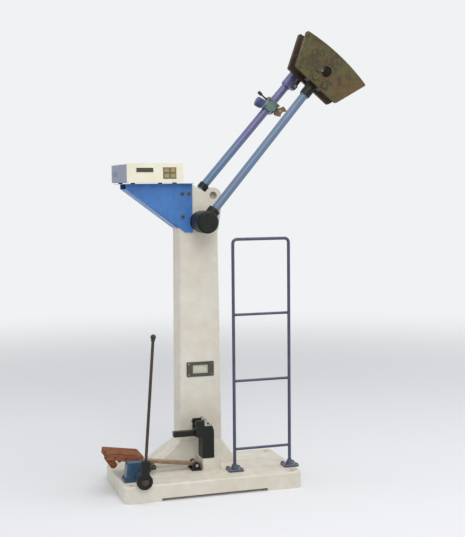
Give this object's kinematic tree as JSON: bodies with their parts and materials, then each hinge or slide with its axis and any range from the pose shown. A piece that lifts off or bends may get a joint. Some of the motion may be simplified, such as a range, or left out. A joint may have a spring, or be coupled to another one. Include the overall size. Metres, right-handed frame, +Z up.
{
  "type": "pendulum impact tester",
  "caption": "Floor-standing pendulum impact tester with a raised U-shaped hammer, latch tube, anvils, hand brake, guard frame and a control box on a bracket.",
  "frame": {"origin": "centre of the base casting's underside, on the floor", "axes": "+Z up, X along the base's length with the raised hammer over +X, +Y away from the operator's side"},
  "size_m": [1.1232, 0.576, 1.8658],
  "materials": {
    "cream_paint": "smooth cream machine paint",
    "aluminium_trim": "fine brushed aluminium",
    "black_paint": "satin black paint",
    "plate_frame": "dark olive enamel",
    "bright_steel": "ground steel",
    "dark_steel": "blackened steel",
    "pedestal_paint": "dark blue paint",
    "brown_paint": "dark brown hammer finish",
    "tube_paint": "lilac grey paint",
    "pipe_paint": "grey blue paint",
    "olive_paint": "olive brown hammer finish",
    "black_plastic": "black moulded plastic",
    "dark_blue_plastic": "dark blue enamel",
    "teal_paint": "teal paint",
    "bronze": "dull bronze",
    "blue_paint": "medium blue paint",
    "white_paint": "white powder coat",
    "cream_panel": "light cream panel paint",
    "dark_window": "dark display window",
    "keypad_brown": "brown keypad film",
    "key_olive": "olive tan keys",
    "black_rubber": "black rubber",
    "slate_paint": "dark slate blue paint",
    "tan_paint": "tan paint",
    "rust_paint": "red brown paint",
    "lining": "brown friction lining"
  },
  "bodies": {
    "frame": {"base_casting": "cream_paint", "column_casting": "cream_paint", "nameplate_frame": "plate_frame", "nameplate_blank": "aluminium_trim", "support_block": "black_paint", "anvils": "bright_steel", "specimen_rest_bar": "black_paint", "bearing_outer_rings": "bright_steel", "bearing_covers": "black_paint", "angle_sensor": "black_plastic", "latch_tube_clamp": "black_paint", "latch_tube": "tube_paint", "latch_head": "tube_paint", "latch_pivots": "bright_steel", "release_housing": "teal_paint", "release_coil": "dark_blue_plastic", "box_bracket": "blue_paint", "box_cover": "white_paint", "box_chassis": "white_paint", "box_front_panel": "cream_panel", "display_window": "dark_window", "keypad_plate": "keypad_brown", "rear_sockets": "black_plastic", "box_feet": "black_rubber", "guard_hoop": "slate_paint", "guard_rungs": "slate_paint", "guard_feet": "slate_paint", "brake_hinge_block": "black_paint", "brake_hinge_pin": "bright_steel", "brake_pedestal": "pedestal_paint", "frame_bolts": "dark_steel"},
    "pendulum": {"pendulum_shaft": "bright_steel", "bearing_inner_rings": "bright_steel", "pendulum_hub": "black_paint", "pendulum_pipe": "pipe_paint", "hammer_socket": "black_paint", "hammer_front_plate": "olive_paint", "hammer_rear_plate": "brown_paint", "striker": "bright_steel", "hammer_bolts": "olive_paint"},
    "ball_cages": {"ball_cages": "bright_steel"},
    "latch_hook": {"latch_hook": "dark_steel"},
    "release_lever": {"release_lever": "bronze"},
    "release_rod": {"release_rod": "bright_steel"},
    "lock_knob": {"lock_knob": "black_plastic"},
    "brake_lever": {"lever_boss": "black_paint", "lever_rod": "dark_steel", "lever_knob": "black_plastic", "brake_crank": "dark_steel", "brake_shaft": "bright_steel"},
    "crank_roller": {"crank_roller": "bright_steel"},
    "brake_arm": {"brake_arm": "tan_paint", "brake_shoe": "rust_paint", "shoe_lining": "lining", "lining_roller": "lining"},
    "key_1": {"key_1": "key_olive"},
    "key_2": {"key_2": "key_olive"},
    "key_3": {"key_3": "key_olive"},
    "key_4": {"key_4": "key_olive"},
    "power_switch": {"power_switch": "black_plastic"}
  },
  "joints": [
    {"name": "pendulum_swing", "type": "hinge", "parent": "frame", "child": "pendulum", "pos_m": [0.018, 0, 1.09], "axis": [0, 1, 0], "range_deg": [0, 280]},
    {"name": "cage_spin", "type": "hinge", "parent": "frame", "child": "ball_cages", "pos_m": [0.018, 0, 1.09], "axis": [0, 1, 0], "range_deg": [0, 112]},
    {"name": "release_lever_turn", "type": "hinge", "parent": "frame", "child": "release_lever", "pos_m": [0.3779, 0.081, 1.5485], "axis": [0, -1, 0], "range_deg": [0, 25]},
    {"name": "hook_turn", "type": "hinge", "parent": "frame", "child": "latch_hook", "pos_m": [0.43731, 0.0475, 1.65194], "axis": [0, 1, 0], "range_deg": [0, 75]},
    {"name": "release_rod_slide", "type": "slide", "parent": "frame", "child": "release_rod", "axis": [0.6607, 0, 0.7507], "range_m": [0, 0.01]},
    {"name": "lock_pull", "type": "slide", "parent": "frame", "child": "lock_knob", "axis": [-0.7507, 0, 0.6607], "range_m": [0, 0.006], "stiffness_N_per_m": 300},
    {"name": "brake_lever_turn", "type": "hinge", "parent": "frame", "child": "brake_lever", "pos_m": [-0.293, 0, 0.09], "axis": [0, -1, 0], "range_deg": [0, 45]},
    {"name": "brake_arm_lift", "type": "hinge", "parent": "frame", "child": "brake_arm", "pos_m": [-0.038, 0, 0.09], "axis": [0, 1, 0], "range_deg": [0, 17]},
    {"name": "crank_roller_spin", "type": "hinge", "parent": "brake_lever", "child": "crank_roller", "pos_m": [-0.21845, -0.036, 0.09817], "axis": [0, 1, 0], "continuous": true},
    {"name": "power_switch_tilt", "type": "hinge", "parent": "frame", "child": "power_switch", "pos_m": [-0.205, 0.342, 1.288], "axis": [1, 0, 0], "range_deg": [0, 12]},
    {"name": "key_1_press", "type": "slide", "parent": "frame", "child": "key_1", "axis": [0, 1, 0], "range_m": [0, 0.0015], "stiffness_N_per_m": 400},
    {"name": "key_2_press", "type": "slide", "parent": "frame", "child": "key_2", "axis": [0, 1, 0], "range_m": [0, 0.0015], "stiffness_N_per_m": 400},
    {"name": "key_3_press", "type": "slide", "parent": "frame", "child": "key_3", "axis": [0, 1, 0], "range_m": [0, 0.0015], "stiffness_N_per_m": 400},
    {"name": "key_4_press", "type": "slide", "parent": "frame", "child": "key_4", "axis": [0, 1, 0], "range_m": [0, 0.0015], "stiffness_N_per_m": 400}
  ],
  "couplings": [
    {"joint": "cage_spin", "follows": "pendulum_swing", "ratio": 0.4},
    {"joint": "hook_turn", "follows": "release_lever_turn", "ratio": 3},
    {"joint": "release_rod_slide", "follows": "release_lever_turn", "m_per_rad": 0.022918},
    {"joint": "brake_arm_lift", "follows": "brake_lever_turn", "ratio": 0.37778}
  ]
}
